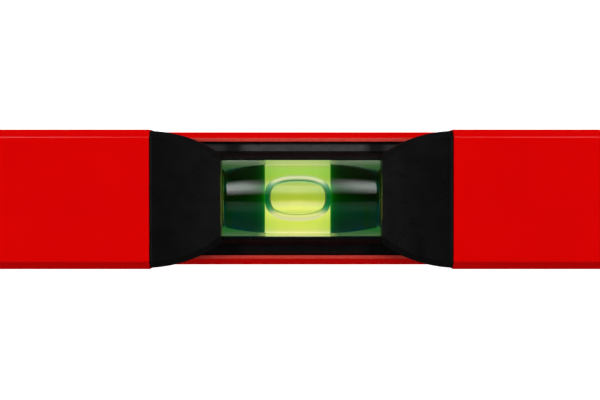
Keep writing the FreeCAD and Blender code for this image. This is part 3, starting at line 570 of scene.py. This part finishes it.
def dark_backing():
    """Black mask with a painted glow on it, emitted in place of the dyed fluid's light, brightest
    beside the window.
    """
    made, tree, shader = new_material("dark_backing_mask")
    plain(shader, Roughness=0.6, Specular_IOR_Level=0.1, Emission_Strength=1.0)
    tone = drift(tree, 0.5 * MM, 3, (0.0002, 0.0004, 0.0002), (0.0004, 0.0008, 0.0004))
    tree.links.new(tone, shader.inputs["Base Color"])
    along, across = along_and_across(tree)
    away = scaled(tree, along, SIGHT_HALF, SIGHT_HALF + MASK_SPILL_LENGTH)
    place = scaled(tree, across, -MASK_STRIP_HALF, MASK_STRIP_HALF)
    spill = multiplied(tree, ramp(tree, away, MASK_SPILL), ramp(tree, place, MASK_TINT))

    chamber_end = CENTRE_CHAMBER["length"] / 2
    # painted glow: the base glow fades past the chamber's end
    past_chamber = scaled(tree, along, chamber_end - 1.6 * MM, chamber_end - 0.4 * MM)
    glow_past_chamber = ramp(tree, past_chamber, [(0.0, 1.0), (1.0, PAST_CHAMBER_GLOW)])
    base = multiplied(tree, ramp(tree, place, MASK_BASE), glow_past_chamber)
    tree.links.new(blended(tree, 1.0, spill, base, "ADD"), shader.inputs["Emission Color"])
    return made


def paint(material, *nodes):
    """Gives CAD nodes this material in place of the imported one."""
    for node in nodes:
        for place in NODES[node].material_slots:
            place.material = material


# ---------------------------------------------------------------- shapes


def mesh_from(work, name):
    """A mesh of a bmesh, which is freed."""
    mesh = bpy.data.meshes.new(name)
    work.to_mesh(mesh)
    work.free()
    return mesh


def placed(name, data):
    """An object for a mesh, lamp or camera, linked to the scene."""
    made = bpy.data.objects.new(name, data)
    bpy.context.scene.collection.objects.link(made)
    return made


def new_piece(name, mesh, material, smooth_angle=35):
    """An object for a mesh, shaded smooth except across edges sharper than the angle."""
    mesh.name = name
    for face in mesh.polygons:
        face.use_smooth = True
    mesh.set_sharp_from_angle(angle=math.radians(smooth_angle))
    mesh.materials.clear()
    mesh.materials.append(material)
    return placed(name, mesh)


def barrel_outline(size, rows=40, corner_rows=6):
    """(along, radius) points of a barrel from one end of its axis to the other: a flat end, a
    corner, a bowed side, a corner, a flat end."""
    half, corner, straight = size["length"] / 2, size["corner"], size["straight"] / 2
    side_end = half - corner

    def side(along):
        beyond = max(abs(along) - straight, 0)
        return size["radius"] - size["bow"] + math.sqrt(size["bow"] ** 2 - beyond**2)

    right = [
        (side_end + corner * math.sin(a), side(side_end) - corner + corner * math.cos(a))
        for a in (math.pi / 2 * i / corner_rows for i in range(1, corner_rows + 1))
    ]
    places = (side_end * (2 * i / rows - 1) for i in range(rows + 1))
    middle = [(along, side(along)) for along in places]
    left = [(-along, radius) for along, radius in reversed(right)]
    return left + middle + right


def spun(outline, turn, segments=96):
    """A closed mesh of revolution of (along, radius) points about X, then turned by a matrix."""
    work = bmesh.new()
    rings = []
    for along, radius in outline:
        angles = (2 * math.pi * i / segments for i in range(segments))
        points = ((along, radius * math.cos(a), radius * math.sin(a)) for a in angles)
        rings.append([work.verts.new(point) for point in points])
    for lower, upper in zip(rings, rings[1:]):
        for i in range(segments):
            j = (i + 1) % segments
            work.faces.new((lower[i], lower[j], upper[j], upper[i]))
    work.faces.new(list(reversed(rings[0])))
    work.faces.new(rings[-1])
    bmesh.ops.recalc_face_normals(work, faces=work.faces)
    bmesh.ops.transform(work, matrix=turn, verts=work.verts)
    return mesh_from(work, "spun")


def bevelled_box(low, high, edge):
    """A box with its edges rounded."""
    work = bmesh.new()
    bmesh.ops.create_cube(work, size=1.0)
    middle, size = (Vector(low) + Vector(high)) / 2, Vector(high) - Vector(low)
    bmesh.ops.scale(work, vec=size, verts=work.verts)
    bmesh.ops.translate(work, vec=middle, verts=work.verts)
    edges = list(work.edges)
    bmesh.ops.bevel(work, geom=edges, offset=edge, segments=3, profile=0.5, affect="EDGES")
    return mesh_from(work, "box")


def united(meshes):
    """One closed mesh, the union of several."""
    made = [placed("part", mesh) for mesh in meshes]
    for other in made[1:]:
        join = made[0].modifiers.new("join", "BOOLEAN")
        join.operation = "UNION"
        join.solver = "EXACT"
        join.object = other
    graph = bpy.context.evaluated_depsgraph_get()
    mesh = bpy.data.meshes.new_from_object(made[0].evaluated_get(graph))
    for one in made:
        bpy.data.objects.remove(one)
    return mesh


def pebble(half, height, rim, crown, plan_power=2.5, rim_rings=12, top_rings=10, segments=128):
    """A flattened bubble about the origin: half holds its half length and half width, height is
    half its depth. A rim of that radius runs round the outline, and inside it the top and bottom
    are almost flat, and rise by crown to their middle."""
    work = bmesh.new()

    def ring(inset, share, z):
        points = []
        for i in range(segments):
            a = 2 * math.pi * i / segments
            c, s = math.cos(a), math.sin(a)
            x = (half[0] - inset) * share * math.copysign(abs(c) ** (2 / plan_power), c)
            y = (half[1] - inset) * share * math.copysign(abs(s) ** (2 / plan_power), s)
            points.append(work.verts.new((x, y, z)))
        return points

    edge_height = height - crown
    equator = ring(0, 1, 0)
    for sign in (1, -1):
        levels = [equator]
        for i in range(1, rim_rings + 1):
            a = math.pi / 2 * i / rim_rings
            levels.append(ring(rim * (1 - math.cos(a)), 1, sign * edge_height * math.sin(a)))
        for i in range(1, top_rings):
            share = 1 - i / top_rings
            levels.append(ring(rim, share, sign * (edge_height + crown * (1 - share**2))))
        tip = work.verts.new((0, 0, sign * height))
        for outer, inner in zip(levels, levels[1:]):
            for i in range(segments):
                j = (i + 1) % segments
                work.faces.new((outer[i], outer[j], inner[j], inner[i]))
        for i in range(segments):
            work.faces.new((levels[-1][i], levels[-1][(i + 1) % segments], tip))
    bmesh.ops.recalc_face_normals(work, faces=work.faces)
    return mesh_from(work, "pebble")


# ---------------------------------------------------------------- pieces


def centre_vial(acrylic, fluid):
    """The centre vial: a clear block with a barrel-shaped crown, its fluid and its bubble."""
    low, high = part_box("centre_vial")
    bottom = low.z - OPTICAL_CONTACT
    body = bevelled_box(
        (-BODY_HALF_X, BODY_Y - BODY_HALF_Y, bottom),
        (BODY_HALF_X, BODY_Y + BODY_HALF_Y, SHOULDER_Z),
        BODY_EDGE,
    )
    foot_top = low.z + FOOT_HEIGHT
    foot = bevelled_box((low.x, low.y, bottom), (high.x, high.y, foot_top), FOOT_EDGE)
    crown = spun(barrel_outline(CROWN), Matrix.Translation((0, 0, CROWN_AXIS_Z)), 128)
    block = new_piece("centre_vial_block", united([body, foot, crown]), acrylic, 30)
    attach(block, "level")
    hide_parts("centre_vial", "centre_vial_plug")

    chamber_axis = Matrix.Translation((SIGHT_X, 0, CROWN_AXIS_Z))
    shape = spun(barrel_outline(CENTRE_CHAMBER), chamber_axis)
    body_of_fluid = new_piece("centre_vial_fluid", shape, fluid)
    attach(body_of_fluid, "level")
    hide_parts("centre_fluid")

    low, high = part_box("centre_bubble")
    middle, size = (low + high) / 2, high - low
    shape = pebble((size.x / 2, BUBBLE_HALF_WIDTH), size.z / 2, BUBBLE_RIM, BUBBLE_CROWN)
    bubble = new_piece("centre_vial_bubble", shape, glinting_bubble_air(), 80)
    bubble.location = middle + Vector((0, BUBBLE_Y, 0))
    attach(bubble, "centre_bubble")
    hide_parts("centre_bubble")


def plumb_vial(side, acrylic, fluid, air):
    """One plumb vial: a clear tube standing upright, its fluid and its bubble."""
    low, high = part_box(f"plumb_vial_{side}")
    upright = Matrix.Translation((low + high) / 2) @ Matrix.Rotation(-math.pi / 2, 4, "Y")
    shape = spun(barrel_outline(PLUMB_BODY, 2, 4), upright)
    tube = new_piece(f"plumb_vial_body_{side}", shape, acrylic, 30)
    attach(tube, "level")
    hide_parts(f"plumb_vial_{side}", f"plumb_vial_plug_{side}")

    shape = spun(barrel_outline(PLUMB_CHAMBER), upright)
    filling = new_piece(f"plumb_vial_fluid_{side}", shape, fluid)
    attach(filling, "level")
    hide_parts(f"plumb_fluid_{side}")

    low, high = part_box(f"plumb_bubble_{side}")
    half = (high - low) / 2
    shape = pebble((half.x, half.y), half.z, PLUMB_BUBBLE_RIM, PLUMB_BUBBLE_CROWN, ROUND_PLAN)
    bubble = new_piece(f"plumb_vial_bubble_{side}", shape, air, 80)
    bubble.location = (low + high) / 2
    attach(bubble, f"plumb_bubble_{side}")
    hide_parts(f"plumb_bubble_{side}")


def dress():
    """Gives every CAD node that stays its finish, and builds the vials."""
    black, steel = black_moulding(), screw_steel()
    paint(red_coat(), "box_profile")
    paint(black, "vial_saddle", "vial_retainer")
    paint(steel, "retainer_screws")
    paint(bright_backing(), "centre_reflector")
    paint(dark_backing(), "centre_vial_mask_left", "centre_vial_mask_right")
    rubber, ink = pad_rubber(), ring_ink()
    acrylic, fluid = clear_acrylic(), green_fluid()
    air = bubble_air("plumb_bubble_air")[0]
    centre_vial(acrylic, fluid)
    for side in SIDES:
        paint(black, f"end_cap_{side}", f"plumb_bezel_front_{side}", f"plumb_bezel_back_{side}")
        paint(rubber, f"shock_pad_{side}")
        paint(steel, f"plumb_screws_{side}")
        paint(ink, f"plumb_rings_{side}")
        plumb_vial(side, acrylic, fluid, air)


# ---------------------------------------------------------------- studio


FLOOR_RADIUS = 8.0
LIT_POINT = Vector((0, 0, 0.052))  # just over the centre vial
CAMERA_TARGET = Vector((-0.25 * MM, -0.09 * MM, CAD_BOX[1].z))
CAMERA_OFFSET = Vector((0, 3.4 * MM, 240 * MM))


def floor():
    """A plain white sweep under the level."""
    work = bmesh.new()
    bmesh.ops.create_circle(work, cap_ends=True, segments=64, radius=FLOOR_RADIUS)
    mesh = mesh_from(work, "floor")
    made, _, shader = new_material("studio_floor")
    plain(shader, Base_Color=(0.6, 0.6, 0.6, 1), Roughness=0.9, Specular_IOR_Level=0.0)
    plain(shader, Emission_Color=(1, 1, 1, 1), Emission_Strength=0.9)
    mesh.materials.append(made)
    sweep = placed("floor", mesh)
    sweep.visible_glossy = False


def softbox(name, tilt, turn, away, length, width, radiance, lengthways, widthways):
    """A glowing panel that faces the centre vial from this far away, tilted from straight up
    towards +Y and turned in its own plane, both in degrees. The last two say how its light varies
    from end to end and from edge to edge."""
    work = bmesh.new()
    bmesh.ops.create_grid(work, x_segments=1, y_segments=1, size=0.5, calc_uvs=True)
    mesh = mesh_from(work, name)
    made, tree = bare_material(name)
    x, y, _ = axes(tree, where(tree))
    ends = ramp(tree, scaled(tree, x, -0.5, 0.5), lengthways)
    edges = ramp(tree, scaled(tree, y, -0.5, 0.5), widthways)
    light = emission(tree, multiplied(tree, ends, edges), radiance)
    tree.links.new(light, tree.nodes["Material Output"].inputs["Surface"])
    mesh.materials.append(made)
    panel = placed(name, mesh)
    a = math.radians(tilt)
    panel.matrix_world = (
        Matrix.Translation(LIT_POINT + Vector((0, math.sin(a), math.cos(a))) * away)
        @ Matrix.Rotation(-a, 4, "X")
        @ Matrix.Rotation(math.radians(turn), 4, "Z")
        @ Matrix.Diagonal((length, width, 1, 1))
    )
    panel.visible_camera = False
    panel.visible_shadow = False


def overhead_light():
    """A broad light from straight above that doesn't show as a reflection."""
    lamp = bpy.data.lights.new("overhead", "AREA")
    lamp.shape = "SQUARE"
    lamp.size = 2.4
    lamp.energy = 45.0
    made = placed("overhead", lamp)
    made.location = (0, 0, 1.6)
    made.visible_glossy = False
    made.visible_camera = False
    made.visible_transmission = False


def surroundings():
    """White where the camera looks past the level or through its vials; to reflections, a dim
    room that is darkest overhead."""
    world = bpy.data.worlds.new("studio")
    bpy.context.scene.world = world
    world.use_nodes = True
    tree = world.node_tree
    room = tree.nodes["Background"]
    height = axes(tree, tree.nodes.new("ShaderNodeTexCoord").outputs["Generated"])[2]
    walls = ramp(tree, height, [(0.0, 0.03), (0.5, 0.008), (0.8, 0.0)])
    tree.links.new(walls, room.inputs["Color"])
    seen = tree.nodes.new("ShaderNodeBackground")
    plain(seen, Color=(1, 1, 1, 1))
    paths = tree.nodes.new("ShaderNodeLightPath").outputs
    either = math_node(tree, "MAXIMUM", paths["Is Camera Ray"], paths["Is Transmission Ray"])
    surface = mixed_shaders(tree, either, room.outputs["Background"], seen.outputs["Background"])
    tree.links.new(surface, tree.nodes["World Output"].inputs["Surface"])


def camera():
    """Straight above the centre vial, a little towards +Y, as near as a close-up is taken."""
    data = bpy.data.cameras.new("camera")
    data.sensor_width = 36.0
    data.lens = 81.0
    data.clip_start, data.clip_end = 0.01, 50.0
    made = placed("camera", data)
    made.location = CAMERA_TARGET + CAMERA_OFFSET
    lean = math.atan2(made.location.y - CAMERA_TARGET.y, made.location.z - CAMERA_TARGET.z)
    made.rotation_euler = (-lean, 0, 0)
    bpy.context.scene.camera = made


def studio():
    """Floor, lights, surroundings and camera."""
    floor()
    softbox(
        "key_softbox",
        tilt=42.5,
        turn=6.0,
        away=0.8,
        length=0.95,
        width=0.86,
        radiance=7.2,
        lengthways=[
            (0.0, 1.0), (0.15, 1.0), (0.28, 0.80), (0.38, 0.25),
            (0.5, 0.22), (0.62, 0.36), (0.75, 0.74), (1.0, 1.0),
        ],
        widthways=[
            (0.0, 0.02), (0.14, 0.27), (0.26, 0.52), (0.38, 0.88), (0.48, 1.0),
            (0.62, 0.84), (0.79, 0.32), (0.94, 0.04), (1.0, 0.0),
        ],
    )
    softbox(
        "fill_softbox",
        tilt=-28.0,
        turn=0.0,
        away=0.8,
        length=0.95,
        width=0.5,
        radiance=0.4,
        lengthways=[(0.0, 1.0), (0.2, 0.8), (0.5, 0.1), (0.8, 0.6), (1.0, 0.8)],
        widthways=[(0.0, 0.4), (1.0, 1.0)],
    )
    overhead_light()
    surroundings()
    camera()
    scene = bpy.context.scene
    scene.view_settings.view_transform = "Standard"
    scene.cycles.use_denoising = True


dress()
studio()
